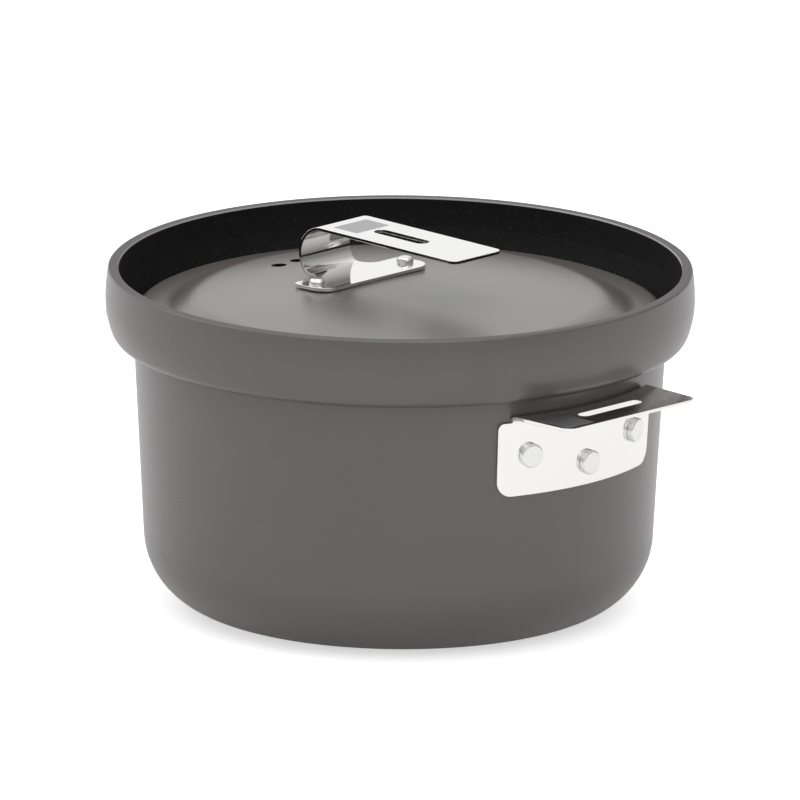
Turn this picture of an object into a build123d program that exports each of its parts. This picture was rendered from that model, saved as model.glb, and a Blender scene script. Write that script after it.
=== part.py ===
from build123d import *
from math import asin, cos, degrees, radians, sin, sqrt, tan
import os

# Camp cooking pot with a bulged rim, a drop-in lid and riveted stainless sheet handles.
# The origin is the centre of the base's underside, +Z is up, and +X points along the right
# handle. All sizes are in millimetres.

os.makedirs("parts", exist_ok=True)

# ---- pot body: one pressed aluminium bowl with a bulge under the lip ----
pot_height = 125.0
neck_radius = 96.4          # body just under the bulge
wall = 3.0
taper = 3.3                 # degrees that the body narrows towards the base
base_corner = 27.5          # outside radius between the base and the body
bulge = 10.5                # how far the bulge stands out from the body
bulge_drop = 11.0           # widest point, measured down from the lip
bulge_curve = 33.0          # radius of the bulge below its widest point
bulge_turn = 21.0           # degrees that this curve turns before the corner
lip_lean = 0.9              # how far the lip is drawn in from the widest point
lip_width = 4.0             # flat top of the lip
lip_round = 0.8
lip_chamfer = 0.5
shelf_corner = 5.5          # outside radius between the bulge and its underside
shelf_rise = 15.7           # degrees that the underside rises outwards
ledge_round = 2.0           # inner edge where the bulge meets the body

# ---- lid: one drawn aluminium disc with a turned-down edge ----
lid_sheet = 1.5
lid_overlap = 2.6           # how far the lid's edge reaches over the shelf inside the bulge
lid_seat_gap = 0.3          # between the lid's edge and the shelf that carries it
flange_drop = 15.4          # flat outer band, measured down from the lip
flange_width = 11.9
slope_width = 10.0          # across the slope between the band and the crown
crown_drop = 6.5            # top of the crown, measured down from the lip
crown_curve = 750.0         # radius of the shallow crown
shoulder_round = 14.0
foot_round = 8.0
edge_round = 2.5
vent_radius = 2.8
vent_reach = 57.0           # vent holes, distance from the pot's axis
vent_spacing = 9.6

# ---- stainless handles ----
handle_sheet = 1.2
seat_gap = 0.05             # between a handle sheet and the curved face under it

# side handle: a plate that follows the wall, its top turned out into a tab
plate_width = 76.0          # straight across the plate's two ends
plate_bottom = 62.8         # measured down from the lip
tab_drop = 32.4             # top of the tab, measured down from the lip
tab_bend = 2.6              # outside radius of the bend between plate and tab
tab_depth = 22.6            # straight front edge, measured out from the neck
tab_root_width = 71.0
tab_front_width = 66.0
tab_corner = 4.0
plate_corner = 6.0
shoulder_corner = 2.5
side_slot_length = 31.0
side_slot_width = 5.0
side_slot_out = 10.6        # middle of the slot, measured out from the neck

# side handle rivets
rivet_head_radius = 4.5
rivet_head_height = 2.2
rivet_shank_radius = 2.2
rivet_tail_radius = 4.0
rivet_tail_height = 1.2
rivet_fit = 0.05            # shank to hole
rivet_bed = 0.1             # room for the flat tail on the curved inner wall
outer_rivet_side = 26.2     # outer rivets, measured sideways from the middle one
outer_rivet_drop = 47.7
middle_rivet_drop = 54.3

# lid handle: one strip that curls up from a riveted foot and over into a flat tab
lid_tab_width = 25.0
lid_tab_tip = 39.7
lid_tab_corner = 3.0
curl_radius = 11.0          # outside of the curl
curl_wrap = 45.3            # degrees that the curl turns on below its middle to reach the foot
curl_reach = -28.3          # centre of the curl along X
foot_bend = 3.0             # bend between the foot and the curl
foot_front = -10.5
foot_back = -27.5
foot_width = 55.6
foot_front_corner = 7.0
foot_back_corner = 2.5
foot_relief = 5.0           # hollow corners beside the curl
lid_slot_start = -12.3
lid_slot_end = 13.5
lid_slot_width = 6.0

# lid handle rivets
lid_rivet_reach = -19.8
lid_rivet_spacing = 45.0
lid_rivet_head_radius = 3.1
lid_rivet_head_height = 2.2
lid_head_round = 1.7
lid_rivet_shank_radius = 1.5
lid_rivet_tail_radius = 2.9
lid_rivet_bed = 0.2         # room for the flat tail under the sloping crown
head_round = 0.7

# ---- heights and radii worked out from the sizes above ----
belly_radius = neck_radius + bulge
rim_radius = belly_radius - lip_lean
belly_centre = Vector(belly_radius - bulge_curve, pot_height - bulge_drop)
corner_aim = Vector(cos(radians(bulge_turn)), -sin(radians(bulge_turn)))
corner_centre = belly_centre + corner_aim * (bulge_curve - shelf_corner)
corner_turn = 90 - shelf_rise - bulge_turn
shelf_down = Vector(sin(radians(shelf_rise)), -cos(radians(shelf_rise)))
shelf_end = corner_centre + shelf_down * shelf_corner
neck_height = shelf_end.Y - (shelf_end.X - neck_radius) * tan(radians(shelf_rise))
wall_out = Vector(cos(radians(taper)), -sin(radians(taper)))
pick = 0.5                  # half the window in which a corner is looked for
sides = (("right", 0), ("left", 180))


def body_radius(height):
    """Outside radius of the tapered body at a height."""
    return neck_radius - (neck_height - height) * tan(radians(taper))


def wall_point(height, out=0.0):
    """Radius and height of a point on the body's outer face, moved out along the face's normal."""
    return Vector(body_radius(height), height) + wall_out * out


def angle_across(sideways, height):
    """Degrees around the body from its middle line to a point that lies sideways of it."""
    return degrees(asin(sideways / body_radius(height)))


# ---------------------------------------------------------------- places of the side rivets
drill_depth = 4 * wall
outer_rivet_height = pot_height - outer_rivet_drop
middle_rivet_height = pot_height - middle_rivet_drop
outer_rivet_angle = angle_across(outer_rivet_side, outer_rivet_height)


def rivet_planes(turn):
    """Planes on a side handle's outer face, one for each of its three rivets, facing outwards."""
    planes = []
    places = (
        (-outer_rivet_angle, outer_rivet_height),
        (0, middle_rivet_height),
        (outer_rivet_angle, outer_rivet_height),
    )
    for angle, height in places:
        around = radians(turn + angle)
        out = Vector(cos(around) * wall_out.X, sin(around) * wall_out.X, wall_out.Y)
        on_wall = Vector(body_radius(height) * cos(around), body_radius(height) * sin(around), height)
        planes.append(Plane(origin=on_wall + out * (seat_gap + handle_sheet), z_dir=out))
    return planes


# ---------------------------------------------------------------- pot body
# The ledge is where the inner faces of the body and of the shelf meet.
ledge_share = wall / cos(radians(taper + shelf_rise))
ledge_shift = Vector(
    sin(radians(taper)) - cos(radians(shelf_rise)),
    cos(radians(taper)) - sin(radians(shelf_rise)),
)
ledge = Vector(neck_radius, neck_height) + ledge_share * ledge_shift
floor_edge = body_radius(wall) - wall / cos(radians(taper))

with BuildPart() as pot_body:
    with BuildSketch(Plane.XZ) as pot_outside:
        with BuildLine() as outside_line:
            base_line = Line((0, 0), (body_radius(0), 0))
            body_line = Line(base_line @ 1, (neck_radius, neck_height))
            shelf_line = Line(body_line @ 1, shelf_end)
            corner_arc = CenterArc(corner_centre, shelf_corner, shelf_rise - 90, corner_turn)
            belly_arc = CenterArc(belly_centre, bulge_curve, -bulge_turn, bulge_turn)
            rim_arc = TangentArc(belly_arc @ 1, (rim_radius, pot_height), tangent=(0, 1))
            Line(rim_arc @ 1, (0, pot_height))
            Line((0, pot_height), (0, 0))
        make_face()
        fillet(pot_outside.vertices().group_by(Axis.Y)[0].sort_by(Axis.X)[-1], base_corner)
    revolve(axis=Axis.Z)
    with BuildSketch(Plane.XZ) as pot_inside:
        with BuildLine() as inside_line:
            floor_line = Line((0, wall), (floor_edge, wall))
            inner_line = Line(floor_line @ 1, ledge)
            seat_line = Line(ledge, shelf_end - shelf_down * wall)
            seat_arc = CenterArc(corner_centre, shelf_corner - wall, shelf_rise - 90, corner_turn)
            inner_arc = CenterArc(belly_centre, bulge_curve - wall, -bulge_turn, bulge_turn)
            lip_arc = TangentArc(inner_arc @ 1, (rim_radius - lip_width, pot_height), tangent=(0, 1))
            Line(lip_arc @ 1, (0, pot_height))
            Line((0, pot_height), (0, wall))
        make_face()
        fillet(pot_inside.vertices().group_by(Axis.Y)[0].sort_by(Axis.X)[-1], base_corner - wall)
    revolve(axis=Axis.Z, mode=Mode.SUBTRACT)
    lip_edges = pot_body.edges().group_by(Axis.Z)[-1].filter_by(GeomType.CIRCLE).sort_by(SortBy.RADIUS)
    fillet(lip_edges[-1], lip_round)
    chamfer(lip_edges[0], lip_chamfer)
    rings = pot_body.edges().filter_by(GeomType.CIRCLE)
    fillet(rings.filter_by_position(Axis.Z, ledge.Y - pick, ledge.Y + pick), ledge_round)
    for side, turn in sides:
        with Locations(*[Location(plane) for plane in rivet_planes(turn)]):
            Cylinder(rivet_shank_radius + rivet_fit, drill_depth, mode=Mode.SUBTRACT)
pot_body.part.label = "pot_body"
export_step(pot_body.part, "parts/pot_body.step")

# ---------------------------------------------------------------- lid
lid_radius = ledge.X + lid_overlap
flange_radius = lid_radius - flange_width
shoulder_radius = flange_radius - slope_width
flange_height = pot_height - flange_drop
crown_height = pot_height - crown_drop
seat_height = ledge.Y + lid_overlap * tan(radians(shelf_rise))
crown_sweep = degrees(asin(shoulder_radius / crown_curve))


def crown_at(distance):
    """Height of the lid's crown at a distance from the pot's axis."""
    return crown_height - crown_curve + sqrt(crown_curve**2 - distance**2)


# The handle's foot lies flat on the plane that touches the crown under the foot's middle.
foot_middle = (foot_front + foot_back) / 2
foot_tilt = asin(-foot_middle / crown_curve)
foot_plane = Plane(
    origin=(
        foot_middle - seat_gap * sin(foot_tilt),
        0,
        crown_at(foot_middle) + seat_gap * cos(foot_tilt),
    ),
    x_dir=(cos(foot_tilt), 0, sin(foot_tilt)),
    z_dir=(-sin(foot_tilt), 0, cos(foot_tilt)),
)
lid_rivet_places = [(lid_rivet_reach - foot_middle, side * lid_rivet_spacing / 2) for side in (-1, 1)]
lid_rivet_sag = (lid_rivet_spacing / 2) ** 2 / (2 * crown_curve)

with BuildPart() as lid:
    with BuildSketch(Plane.XZ) as lid_section:
        with BuildLine() as lid_line:
            crown_arc = CenterArc((0, crown_height - crown_curve), crown_curve, 90 - crown_sweep, crown_sweep)
            Polyline(
                crown_arc @ 0,
                (flange_radius, flange_height),
                (lid_radius, flange_height),
                (lid_radius, seat_height + lid_seat_gap),
                (0, seat_height + lid_seat_gap),
                crown_arc @ 1,
            )
        make_face()
        for corner_place, corner_round in (
            (crown_arc @ 0, shoulder_round),
            (Vector(flange_radius, flange_height), foot_round),
            (Vector(lid_radius, flange_height), edge_round),
        ):
            fillet(lid_section.vertices().sort_by_distance(corner_place)[0], corner_round)
    revolve(axis=Axis.Z)
    offset(amount=-lid_sheet, openings=lid.faces().sort_by(Axis.Z)[0])
    with Locations(*[(-vent_reach, side * vent_spacing / 2, crown_height) for side in (-1, 1)]):
        Hole(vent_radius)
    with BuildSketch(foot_plane) as lid_rivet_holes:
        with Locations(*lid_rivet_places):
            Circle(lid_rivet_shank_radius + rivet_fit)
    extrude(amount=-drill_depth, mode=Mode.SUBTRACT)
lid.part.label = "lid"
export_step(lid.part, "parts/lid.step")

# ---------------------------------------------------------------- lid handle
# The curl's centre stands over the foot at the depth where its outside arc reaches the foot.
foot_start = Vector(foot_plane.origin.X, foot_plane.origin.Z)
foot_along = Vector(foot_plane.x_dir.X, foot_plane.x_dir.Z)
foot_out = Vector(foot_plane.z_dir.X, foot_plane.z_dir.Z)
inside_curl = curl_radius - handle_sheet
foot_depth = curl_radius * sin(radians(curl_wrap))
curl_run = (curl_reach - foot_start.X - foot_depth * foot_out.X) / foot_along.X
curl_centre = foot_start + foot_out * foot_depth + foot_along * curl_run
tab_top = curl_centre.Y + curl_radius
under_sweep = 90 + curl_wrap + degrees(foot_tilt)
over_sweep = 90 + degrees(asin((foot_depth - handle_sheet) / inside_curl) + foot_tilt)
under_front = foot_start + foot_along * (foot_front - foot_middle)
over_front = under_front + foot_out * handle_sheet
foot_turn = 180 + degrees(foot_tilt) - under_sweep
bend_length = (foot_bend + handle_sheet) * tan(radians(foot_turn / 2))

with BuildPart() as lid_handle:
    with BuildSketch(Plane.XZ) as strip_section:
        with BuildLine() as strip_line:
            outer_arc = CenterArc(curl_centre, curl_radius, 90, under_sweep)
            inner_arc = CenterArc(curl_centre, inside_curl, 90, over_sweep)
            Polyline(
                outer_arc @ 0,
                (lid_tab_tip, tab_top),
                (lid_tab_tip, tab_top - handle_sheet),
                inner_arc @ 0,
            )
            Polyline(outer_arc @ 1, under_front, over_front, inner_arc @ 1)
        make_face()
        under_corner, over_corner = outer_arc @ 1, inner_arc @ 1
        fillet(strip_section.vertices().sort_by_distance(under_corner)[0], foot_bend + handle_sheet)
        fillet(strip_section.vertices().sort_by_distance(over_corner)[0], foot_bend)
    extrude(amount=lid_tab_width / 2, both=True)
    tab_tip_edges = lid_handle.edges().filter_by(Axis.Z).group_by(Axis.X)[-1]
    fillet(tab_tip_edges, lid_tab_corner)
    with BuildSketch(foot_plane) as foot_outline:
        with BuildLine() as foot_line:
            ear_side = foot_width / 2
            strip_side = lid_tab_width / 2
            strip_end = under_corner.X + bend_length - foot_middle
            front_edge = foot_front - foot_middle
            back_edge = foot_back - foot_middle
            Polyline(
                (front_edge, ear_side),
                (back_edge, ear_side),
                (back_edge, strip_side),
                (strip_end, strip_side),
                (strip_end, -strip_side),
                (back_edge, -strip_side),
                (back_edge, -ear_side),
                (front_edge, -ear_side),
                close=True,
            )
        make_face()
        back_row = foot_outline.vertices().filter_by_position(Axis.X, back_edge - pick, back_edge + pick)
        ear_tips = back_row.group_by(Axis.Y)
        fillet(ear_tips[0] + ear_tips[-1], foot_back_corner)
        back_row = foot_outline.vertices().filter_by_position(Axis.X, back_edge - pick, back_edge + pick)
        fillet(back_row.filter_by_position(Axis.Y, -strip_side - pick, strip_side + pick), foot_relief)
        fillet(foot_outline.vertices().group_by(Axis.X)[-1], foot_front_corner)
    extrude(amount=handle_sheet)
    with BuildSketch(foot_plane) as foot_holes:
        with Locations(*lid_rivet_places):
            Circle(lid_rivet_shank_radius + rivet_fit)
    extrude(amount=handle_sheet, mode=Mode.SUBTRACT)
    with BuildSketch(Plane.XY.offset(tab_top)) as lid_slot:
        with Locations(((lid_slot_start + lid_slot_end) / 2, 0)):
            SlotOverall(lid_slot_end - lid_slot_start, lid_slot_width)
    extrude(amount=-handle_sheet, mode=Mode.SUBTRACT)
lid_handle.part.label = "lid_handle"
export_step(lid_handle.part, "parts/lid_handle.step")

# ---------------------------------------------------------------- side handles
plate_face = seat_gap + handle_sheet
plate_foot = pot_height - plate_bottom
plate_half_span = angle_across(plate_width / 2, plate_foot)
inside_bend = tab_bend - handle_sheet
bend_lean = (plate_face + inside_bend) * sin(radians(taper))
bend_start = pot_height - tab_drop - tab_bend + bend_lean
bend_centre = wall_point(bend_start, plate_face + inside_bend)
bend_sweep = 90 - taper
tab_height = bend_centre.Y + tab_bend
tab_reach = neck_radius + tab_depth
tab_root = neck_radius / 2
tab_far = tab_reach + tab_root_width


def section_plane(angle):
    """Upright plane through the pot's axis, its own X pointing out at an angle."""
    around = radians(angle)
    return Plane(
        origin=(0, 0, 0),
        x_dir=(cos(around), sin(around), 0),
        z_dir=(sin(around), -cos(around), 0),
    )


for side, turn in sides:
    start_plane = section_plane(turn - plate_half_span)
    with BuildPart() as tab:
        with BuildSketch(start_plane) as tab_section:
            with BuildLine() as tab_line:
                outer_bend = CenterArc(bend_centre, tab_bend, 90, bend_sweep)
                inner_bend = CenterArc(bend_centre, inside_bend, 90, bend_sweep)
                Polyline(
                    outer_bend @ 0,
                    (tab_far, tab_height),
                    (tab_far, tab_height - handle_sheet),
                    inner_bend @ 0,
                )
                Line(outer_bend @ 1, inner_bend @ 1)
            make_face()
        revolve(axis=Axis.Z, revolution_arc=2 * plate_half_span)
        with BuildSketch(Plane.XY.rotated((0, 0, turn))) as tab_outline:
            with BuildLine() as tab_edge:
                Polyline(
                    (tab_root, -tab_root_width / 2),
                    (tab_reach, -tab_front_width / 2),
                    (tab_reach, tab_front_width / 2),
                    (tab_root, tab_root_width / 2),
                    close=True,
                )
            make_face()
            fillet(tab_outline.vertices().sort_by(Axis.X if turn == 0 else -Axis.X)[-2:], tab_corner)
        extrude(amount=pot_height, mode=Mode.INTERSECT)
    with BuildPart() as side_handle:
        with BuildSketch(start_plane) as plate_section:
            with BuildLine() as plate_line:
                Polyline(
                    wall_point(plate_foot, seat_gap),
                    wall_point(bend_start, seat_gap),
                    wall_point(bend_start, plate_face),
                    wall_point(plate_foot, plate_face),
                    close=True,
                )
            make_face()
        revolve(axis=Axis.Z, revolution_arc=2 * plate_half_span)
        corner_edges = side_handle.edges().filter_by(GeomType.LINE).group_by(SortBy.LENGTH)[0]
        fillet(corner_edges.group_by(Axis.Z)[0], plate_corner)
        corner_edges = side_handle.edges().filter_by(GeomType.LINE).group_by(SortBy.LENGTH)[0]
        fillet(corner_edges.group_by(Axis.Z)[-1], shoulder_corner)
        add(tab.part)
        with BuildSketch(Plane.XY.offset(tab_height).rotated((0, 0, turn))) as side_slot:
            with Locations((neck_radius + side_slot_out, 0)):
                SlotOverall(side_slot_length, side_slot_width, rotation=90)
        extrude(amount=-handle_sheet, mode=Mode.SUBTRACT)
        with Locations(*[Location(plane) for plane in rivet_planes(turn)]):
            Cylinder(rivet_shank_radius + rivet_fit, drill_depth, mode=Mode.SUBTRACT)
    side_handle.part.label = f"{side}_handle"
    export_step(side_handle.part, f"parts/{side}_handle.step")


# ---------------------------------------------------------------- rivets
def rivet_solid(head_radius, head_height, head_curve, shank_radius, tail_radius, grip):
    """One set rivet: its head sits on the plane z = 0 and its flat tail under the grip."""
    with BuildPart() as rivet:
        with BuildSketch() as head:
            Circle(head_radius)
        extrude(amount=head_height)
        fillet(rivet.faces().sort_by(Axis.Z)[-1].edges(), head_curve)
        with BuildSketch() as shank:
            Circle(shank_radius)
        extrude(amount=-grip)
        with BuildSketch(Plane.XY.offset(-grip)) as tail:
            Circle(tail_radius)
        extrude(amount=-rivet_tail_height)
    return rivet.part


side_grip = plate_face + wall + rivet_bed
lid_grip = handle_sheet + seat_gap + lid_rivet_sag + lid_sheet + lid_rivet_bed
side_rivet = rivet_solid(
    rivet_head_radius,
    rivet_head_height,
    head_round,
    rivet_shank_radius,
    rivet_tail_radius,
    side_grip,
)
lid_rivet_shape = rivet_solid(
    lid_rivet_head_radius,
    lid_rivet_head_height,
    lid_head_round,
    lid_rivet_shank_radius,
    lid_rivet_tail_radius,
    lid_grip,
)

for side, turn in sides:
    for number, plane in enumerate(rivet_planes(turn), start=1):
        with BuildPart() as handle_rivet:
            with Locations(Location(plane)):
                add(side_rivet)
        handle_rivet.part.label = f"{side}_handle_rivet_{number}"
        export_step(handle_rivet.part, f"parts/{side}_handle_rivet_{number}.step")

for number, (along, across) in enumerate(lid_rivet_places, start=1):
    with BuildPart() as lid_rivet:
        with Locations(foot_plane.offset(handle_sheet).location * Location((along, across, 0))):
            add(lid_rivet_shape)
    lid_rivet.part.label = f"lid_rivet_{number}"
    export_step(lid_rivet.part, f"parts/lid_rivet_{number}.step")
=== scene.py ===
import bpy
from math import cos, radians, sin
from mathutils import Matrix, Vector


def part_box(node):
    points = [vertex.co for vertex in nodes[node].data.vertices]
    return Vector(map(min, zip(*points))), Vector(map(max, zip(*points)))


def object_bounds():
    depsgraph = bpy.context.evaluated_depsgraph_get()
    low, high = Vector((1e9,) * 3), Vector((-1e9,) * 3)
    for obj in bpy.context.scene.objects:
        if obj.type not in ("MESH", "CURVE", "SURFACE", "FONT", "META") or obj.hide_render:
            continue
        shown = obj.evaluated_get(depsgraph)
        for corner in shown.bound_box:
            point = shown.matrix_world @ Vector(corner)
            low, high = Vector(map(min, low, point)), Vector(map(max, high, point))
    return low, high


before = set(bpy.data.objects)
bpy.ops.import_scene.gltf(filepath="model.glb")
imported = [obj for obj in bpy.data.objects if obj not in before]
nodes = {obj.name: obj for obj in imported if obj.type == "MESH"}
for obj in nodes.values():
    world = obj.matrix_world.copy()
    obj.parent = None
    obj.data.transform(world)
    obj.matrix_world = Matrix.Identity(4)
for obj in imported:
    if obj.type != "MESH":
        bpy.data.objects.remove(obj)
cad_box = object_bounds()

# ---------------------------------------------------------------- pot body
# One pressed aluminium bowl, hard anodised to a dark warm grey outside. The inside carries a
# black non-stick lining that stops just below the lip. The lip's inner edge is bare turned metal,
# made lighter still as a painted highlight, and the lip's flat top is darkened as painted shade.
POT_GREY = (0.092, 0.081, 0.080, 1)
# Colour of the black lining, also used for the painted shade on the flat top of the lip.
LINING_BLACK_AND_LIP_SHADE = (0.0065, 0.0065, 0.0068, 1)
FLECK_GREY = (0.026, 0.026, 0.027, 1)
# Bare turned metal at the lip's inner edge, made lighter still as a painted highlight.
EDGE_BARE_AND_HIGHLIGHT = (0.30, 0.29, 0.285, 1)
ANODISED_INDEX = 1.7        # aluminium oxide bends light more than paint does
LINING_INDEX = 1.36
LINING_STOP = 0.0006        # how far below the flat of the lip the lining ends
CLOUD_SIZE = 0.045
GRAIN_SIZE = 0.00035
FLECK_SIZE = 0.0007
FLECK_CUT = 0.68            # a higher cut leaves fewer flecks
PEBBLE_SIZE = 0.0011
SKIN_DEPTH = 0.00012


class Tap:
    """A value drawn from a material's nodes; arithmetic on it adds Math nodes."""

    def __init__(self, tree, socket=None):
        self.tree = tree
        self.socket = socket

    def node(self, kind, settings=(), inputs=(), output=0):
        """Adds a node of any kind: first its settings, then its inputs, by name or number."""
        made = self.tree.nodes.new("ShaderNode" + kind)
        for name, value in dict(settings).items():
            setattr(made, name, value)
        for name, value in dict(inputs).items():
            if isinstance(value, Tap):
                self.tree.links.new(value.socket, made.inputs[name])
            else:
                made.inputs[name].default_value = value
        return Tap(self.tree, made.outputs[output])

    def math(self, operation, *values, clamp=False):
        settings = {"operation": operation, "use_clamp": clamp}
        return self.node("Math", settings, dict(enumerate(values)))

    def __add__(self, other):
        return self.math("ADD", self, other)

    def __sub__(self, other):
        return self.math("SUBTRACT", self, other)

    def __rsub__(self, other):
        return self.math("SUBTRACT", other, self)

    def __mul__(self, other):
        return self.math("MULTIPLY", self, other)

    def __gt__(self, other):
        return self.math("GREATER_THAN", self, other)

    def __lt__(self, other):
        return self.math("LESS_THAN", self, other)

    __radd__ = __add__
    __rmul__ = __mul__


def three_parts(tree, vector):
    """The X, Y and Z of a vector."""
    return [Tap(tree).node("SeparateXYZ", inputs={"Vector": vector}, output=axis) for axis in "XYZ"]


def object_place(tree):
    """Place on the piece in its own frame, as a vector and as its three parts."""
    place = Tap(tree).node("TexCoord", output="Object")
    return place, *three_parts(tree, place)


def new_finish(name):
    """An empty material of one Principled shader, with its tree and its shader node."""
    finish = bpy.data.materials.new(name)
    finish.use_nodes = True
    return finish, finish.node_tree, finish.node_tree.nodes["Principled BSDF"]


def feed(tree, shader, **values):
    """Joins what varies over a surface to the shader's sockets."""
    for name, value in values.items():
        tree.links.new(value.socket, shader.inputs[name.replace("_", " ")])


def grain(tree, place, size, detail=2.0):
    """Even random grain of about one size in metres, from 0 to 1."""
    return Tap(tree).node("TexNoise", inputs={"Vector": place, "Scale": 1 / size, "Detail": detail})


def blend_colour(tree, share, first, second):
    """Colour that goes from the first to the second as share goes from 0 to 1."""
    return Tap(tree).node("Mix", {"data_type": "RGBA"}, {0: share, 6: first, 7: second}, output=2)


def raised(tree, height, strength, depth, **inputs):
    """The surface's direction once a height has roughened it."""
    inputs = {"Strength": strength, "Distance": depth, "Height": height, **inputs}
    return Tap(tree).node("Bump", inputs=inputs)


def anodised(tree, place, base_colour):
    """Colour, roughness and height of a hard-anodised skin: soft clouds over a very fine grain."""
    clouds = grain(tree, place, CLOUD_SIZE, 3.0)
    fine = grain(tree, place, GRAIN_SIZE)
    paler = tuple(channel * 1.16 for channel in base_colour[:3]) + (1,)
    darker = tuple(channel * 0.86 for channel in base_colour[:3]) + (1,)
    colour = blend_colour(tree, clouds * 0.6 + fine * 0.4, darker, paler)
    rough = 0.24 + clouds * 0.04 + fine * 0.05
    return colour, rough, fine


def wear(name, finish):
    """Gives a CAD node one finish in place of its plain one."""
    nodes[name].data.materials.clear()
    nodes[name].data.materials.append(finish)


lip_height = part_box("pot_body")[1].z
pot_finish, tree, shader = new_finish("anodised_pot")
place, across, along, height = object_place(tree)
facing_x, facing_y, facing_up = three_parts(tree, Tap(tree).node("NewGeometry", output="Normal"))
from_axis = Tap(tree).math("SQRT", across * across + along * along)
facing_out = Tap(tree).math("DIVIDE", facing_x * across + facing_y * along, from_axis + 0.000001)
at_lip = height > lip_height - LINING_STOP
lined = (facing_up > facing_out) * (height < lip_height - LINING_STOP)
lip_flat = (facing_up > 0.9) * at_lip
bare_edge_and_highlight = (facing_up > 0.35) * (facing_out < -0.2) * at_lip

colour, rough, fine = anodised(tree, place, POT_GREY)
# Painted shade: the flat top of the lip is darkened halfway to the lining's black.
colour = blend_colour(tree, lip_flat * 0.5, colour, LINING_BLACK_AND_LIP_SHADE)
# The lip's inner edge: bare turned metal, lightened further with a painted highlight.
colour = blend_colour(tree, bare_edge_and_highlight, colour, EDGE_BARE_AND_HIGHLIGHT)
rough = rough + lip_flat * 0.25 - bare_edge_and_highlight * 0.05
feed(tree, shader, Base_Color=colour, Roughness=rough, Normal=raised(tree, fine, 0.12, SKIN_DEPTH))
shader.inputs["IOR"].default_value = ANODISED_INDEX

lining = tree.nodes.new("ShaderNodeBsdfPrincipled")
flecks = grain(tree, place, FLECK_SIZE, 0.0) > FLECK_CUT
pebble = grain(tree, place, PEBBLE_SIZE, 1.0)
colour = blend_colour(tree, flecks * 0.8, LINING_BLACK_AND_LIP_SHADE, FLECK_GREY)
lumps = raised(tree, pebble, 0.3, SKIN_DEPTH)
feed(tree, lining, Base_Color=colour, Roughness=0.48 + pebble * 0.1, Normal=lumps)
lining.inputs["IOR"].default_value = LINING_INDEX
skins = {0: lined, 1: Tap(tree, shader.outputs[0]), 2: Tap(tree, lining.outputs[0])}
both_sides = Tap(tree).node("MixShader", inputs=skins)
tree.links.new(both_sides.socket, tree.nodes["Material Output"].inputs["Surface"])
wear("pot_body", pot_finish)

# ---------------------------------------------------------------- lid
# One drawn aluminium disc, anodised like the pot but left without a lining. It drops into the
# bulge and stands on its turned-down edge. Two vents are punched behind its handle, their bores
# coloured black as painted shade.
LID_GREY = (0.110, 0.099, 0.097, 1)
LID_INDEX = 2.2             # its skin is glossier than the pot's
# Painted shade: black put on the vent bores, where the holes fall into shadow.
VENT_SHADE_BLACK = (0.004, 0.004, 0.004, 1)
VENT_REACH = (0.052, 0.062)     # the vents lie between these distances from the lid's middle
VENT_SPREAD = 0.010             # and this near its middle line

lid_finish, tree, shader = new_finish("anodised_lid")
place, across, along, _ = object_place(tree)
facing_up = three_parts(tree, Tap(tree).node("NewGeometry", output="Normal"))[2]
# The vent bores' walls, coloured black as painted shade.
vent_bore_shade = (across < -VENT_REACH[0]) * (across > -VENT_REACH[1]) * (facing_up < 0.5)
vent_bore_shade = vent_bore_shade * (along > -VENT_SPREAD) * (along < VENT_SPREAD)
colour, rough, fine = anodised(tree, place, LID_GREY)
colour = blend_colour(tree, vent_bore_shade, colour, VENT_SHADE_BLACK)
feed(tree, shader, Base_Color=colour, Roughness=rough, Normal=raised(tree, fine, 0.10, SKIN_DEPTH))
shader.inputs["IOR"].default_value = LID_INDEX
wear("lid", lid_finish)

# ---------------------------------------------------------------- handles
# Cut from one polished stainless sheet and bent. Each finger tab carries a bead-blasted grip
# field beside its slot, and the cut edges are tumbled smooth.
STEEL = (0.86, 0.855, 0.845, 1)
BLASTED_STEEL = (0.44, 0.44, 0.45, 1)
SMEAR_SIZE = 0.011
PIT_SIZE = 0.0006
PIT_DEPTH = 0.0004
EDGE_ROUND = 0.00025
FIELD_DROP = 0.0065         # the fields lie no further than this below the top of a handle
LID_FIELD_REACH = (0.0657, 0.0537)  # from the tip of the lid's tab
LID_FIELD_SPREAD = 0.0085
SIDE_FIELD_REACH = (0.019, 0.002)   # from the outer edge of a side tab
SIDE_FIELD_PLACE = (0.032, 0.018)   # to the side of the tab's middle


def polished_sheet(name, field_low, field_high):
    """Polished stainless with one blasted field on top, between two corners in plan."""
    finish, tree, shader = new_finish(f"polished_{name}")
    place, across, along, height = object_place(tree)
    up = three_parts(tree, Tap(tree).node("NewGeometry", output="Normal"))[2]
    field = (across > field_low[0]) * (across < field_high[0])
    field = field * (along > field_low[1]) * (along < field_high[1])
    field = field * (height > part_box(name)[1].z - FIELD_DROP) * (up > 0.5)
    smears = grain(tree, place, SMEAR_SIZE, 2.0)
    pits = grain(tree, place, PIT_SIZE, 2.0)
    colour = blend_colour(tree, field, STEEL, BLASTED_STEEL)
    rough = 0.05 + smears * 0.05 + field * 0.34
    edge = Tap(tree).node("Bevel", {"samples": 6}, {"Radius": EDGE_ROUND})
    skin = raised(tree, field * pits, 0.9, PIT_DEPTH, Normal=edge)
    feed(tree, shader, Base_Color=colour, Roughness=rough, Normal=skin)
    shader.inputs["Metallic"].default_value = 1.0
    return finish


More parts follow.
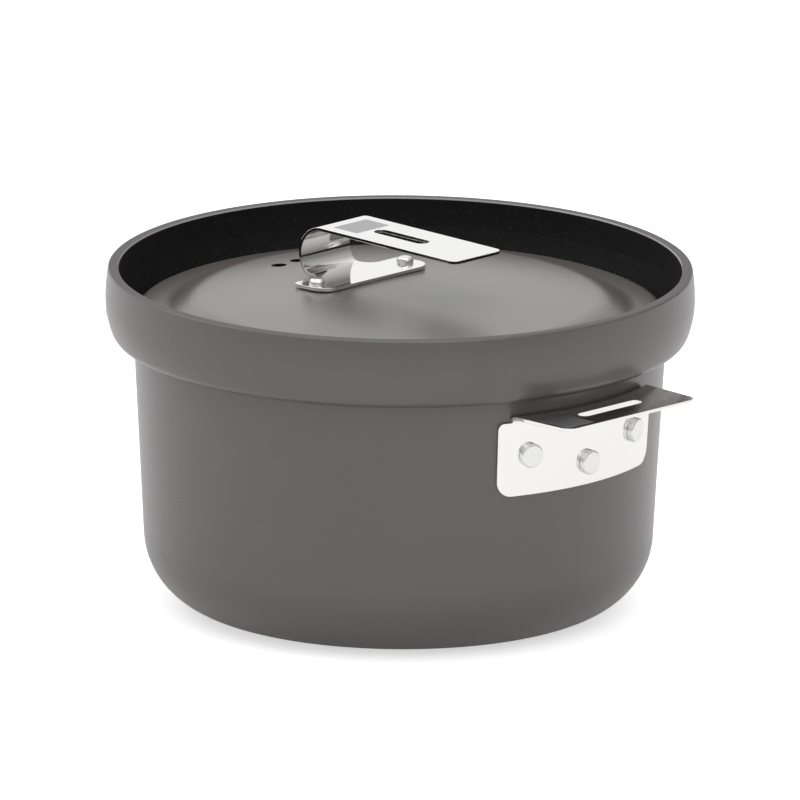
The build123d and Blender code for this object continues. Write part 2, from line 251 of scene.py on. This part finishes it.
lid_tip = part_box("lid_handle")[1].x
low = (lid_tip - LID_FIELD_REACH[0], -LID_FIELD_SPREAD)
high = (lid_tip - LID_FIELD_REACH[1], LID_FIELD_SPREAD)
wear("lid_handle", polished_sheet("lid_handle", low, high))
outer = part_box("right_handle")[1].x
low = (outer - SIDE_FIELD_REACH[0], -SIDE_FIELD_PLACE[0])
high = (outer - SIDE_FIELD_REACH[1], -SIDE_FIELD_PLACE[1])
wear("right_handle", polished_sheet("right_handle", low, high))
turned_low, turned_high = (-high[0], -high[1]), (-low[0], -low[1])
wear("left_handle", polished_sheet("left_handle", turned_low, turned_high))

# ---------------------------------------------------------------- rivets
# Solid stainless rivets, their heads left satin by tumbling.
RIVET_STEEL = (0.80, 0.80, 0.79, 1)
DIMPLE_SIZE = 0.0012
DIMPLE_DEPTH = 0.0001

rivet_finish, tree, shader = new_finish("satin_rivets")
place, *_ = object_place(tree)
dimples = grain(tree, place, DIMPLE_SIZE, 2.0)
skin = raised(tree, dimples, 0.1, DIMPLE_DEPTH)
feed(tree, shader, Roughness=0.2 + dimples * 0.12, Normal=skin)
shader.inputs["Base Color"].default_value = RIVET_STEEL
shader.inputs["Metallic"].default_value = 1.0
for name in nodes:
    if "rivet" in name:
        wear(name, rivet_finish)

# ---------------------------------------------------------------- floor, light and camera
# A white table without an edge under a white sky that is dim low down on two sides, with a
# soft lamp over each shoulder and one overhead. The camera's view lines are parallel.
FLOOR_WHITE = (0.86, 0.86, 0.86, 1)
FLOOR_SPAN = 30.0
FLOOR_SINK = 0.0002         # keeps the floor clear of the pot's base
FLOOR_LIFT = 0.6            # how much whiter the floor looks to the camera than its light makes it
MIRROR_LIFT = 0.15          # the same, for what the metal shows of it
LOW_SKY = 0.62
HIGH_SKY = 0.97
CAMERA_TURN = 44.5
CAMERA_CLIMB = 14.54
CAMERA_ROLL = 0.42
CAMERA_REACH = 3.0
FRAME_SPAN = 0.2899         # width of the picture
AIM_DROP = 0.0478           # middle of the picture below the middle of the rim
AIM_LEFT = 0.00015


def light_rays(tree):
    """1 for rays from the camera, and 1 for rays that metal or glass sends on."""
    camera_ray, glossy_ray, through_ray = [
        Tap(tree).node("LightPath", output=name)
        for name in ("Is Camera Ray", "Is Glossy Ray", "Is Transmission Ray")
    ]
    return camera_ray, Tap(tree).math("MAXIMUM", glossy_ray, through_ray)


floor_mesh = bpy.data.meshes.new("floor")
corners = [
    (x * FLOOR_SPAN, y * FLOOR_SPAN, -FLOOR_SINK) for x, y in ((-1, -1), (1, -1), (1, 1), (-1, 1))
]
floor_mesh.from_pydata(corners, [], [(0, 1, 2, 3)])
floor = bpy.data.objects.new("floor", floor_mesh)
bpy.context.scene.collection.objects.link(floor)
floor_finish, tree, shader = new_finish("white_floor")
shader.inputs["Base Color"].default_value = FLOOR_WHITE
shader.inputs["Roughness"].default_value = 0.9
shader.inputs["Specular IOR Level"].default_value = 0.0
shader.inputs["Emission Strength"].default_value = 1.0
from_camera, from_metal = light_rays(tree)
lift = from_camera * FLOOR_LIFT + from_metal * MIRROR_LIFT
lift_colour = Tap(tree).node("CombineColor", inputs={"Red": lift, "Green": lift, "Blue": lift})
feed(tree, shader, Emission_Color=lift_colour)
floor_mesh.materials.append(floor_finish)

sky = bpy.data.worlds.new("white_sky")
sky.use_nodes = True
tree = sky.node_tree
background = tree.nodes["Background"]
background.inputs["Color"].default_value = (1, 1, 1, 1)
east, north, rise = three_parts(tree, Tap(tree).node("TexCoord", output="Generated"))
rise = Tap(tree).math("MAXIMUM", rise, 0.0)


def dim_side(turn, spread, top):
    """1 low down on one side of the pot, turned from -Y in degrees, and 0 on the other side."""
    side = east * sin(radians(turn)) - north * cos(radians(turn))
    return Tap(tree).math("MULTIPLY", side, spread, clamp=True) * top


near = dim_side(CAMERA_TURN, 1.5, Tap(tree).math("SUBTRACT", 1.0, rise * 1.8, clamp=True))
beside = dim_side(CAMERA_TURN + 90, 1.6, Tap(tree).math("SUBTRACT", 1.15, rise, clamp=True))
lighting = LOW_SKY + rise * (HIGH_SKY - LOW_SKY) - near * 0.3
mirrored = 1 - Tap(tree).math("MAXIMUM", near * 0.6, beside * 0.8)
from_camera, from_metal = light_rays(tree)
unseen = mirrored * from_metal + lighting * (1 - from_metal)
level = from_camera + unseen * (1 - from_camera)
tree.links.new(level.socket, background.inputs["Strength"])
bpy.context.scene.world = sky


def away_from_pot(turn, climb):
    """The direction from the pot to something around it, turned from -Y and raised in degrees."""
    turn, climb = radians(turn), radians(climb)
    return Vector((sin(turn) * cos(climb), -cos(turn) * cos(climb), sin(climb)))


middle = (cad_box[0] + cad_box[1]) / 2
for name, turn, climb, reach, span, power in (
    ("lamp_left", -60, 45, 1.6, 1.0, 2.5),
    ("lamp_right", 75, 40, 1.6, 1.0, 2.0),
    ("lamp_over", 0, 88, 1.7, 1.2, 4.5),
):
    lamp = bpy.data.lights.new(name, "AREA")
    lamp.shape = "DISK"
    lamp.size = span
    lamp.energy = power
    holder = bpy.data.objects.new(name, lamp)
    bpy.context.scene.collection.objects.link(holder)
    away = away_from_pot(turn, climb)
    holder.location = middle + away * reach
    holder.rotation_euler = away.to_track_quat("Z", "Y").to_euler()

back = away_from_pot(CAMERA_TURN, CAMERA_CLIMB)
right = Vector((cos(radians(CAMERA_TURN)), sin(radians(CAMERA_TURN)), 0))
up = back.cross(right)
roll = Matrix.Rotation(radians(CAMERA_ROLL), 3, back)
right, up = roll @ right, roll @ up
camera_data = bpy.data.cameras.new("camera")
camera_data.type = "ORTHO"
camera_data.ortho_scale = FRAME_SPAN
camera = bpy.data.objects.new("camera", camera_data)
bpy.context.scene.collection.objects.link(camera)
aim = Vector((0, 0, lip_height)) - up * AIM_DROP - right * AIM_LEFT
turned = Matrix((right, up, back)).transposed().to_4x4()
camera.matrix_world = Matrix.Translation(aim + back * CAMERA_REACH) @ turned
bpy.context.scene.camera = camera
bpy.context.scene.view_settings.view_transform = "Standard"
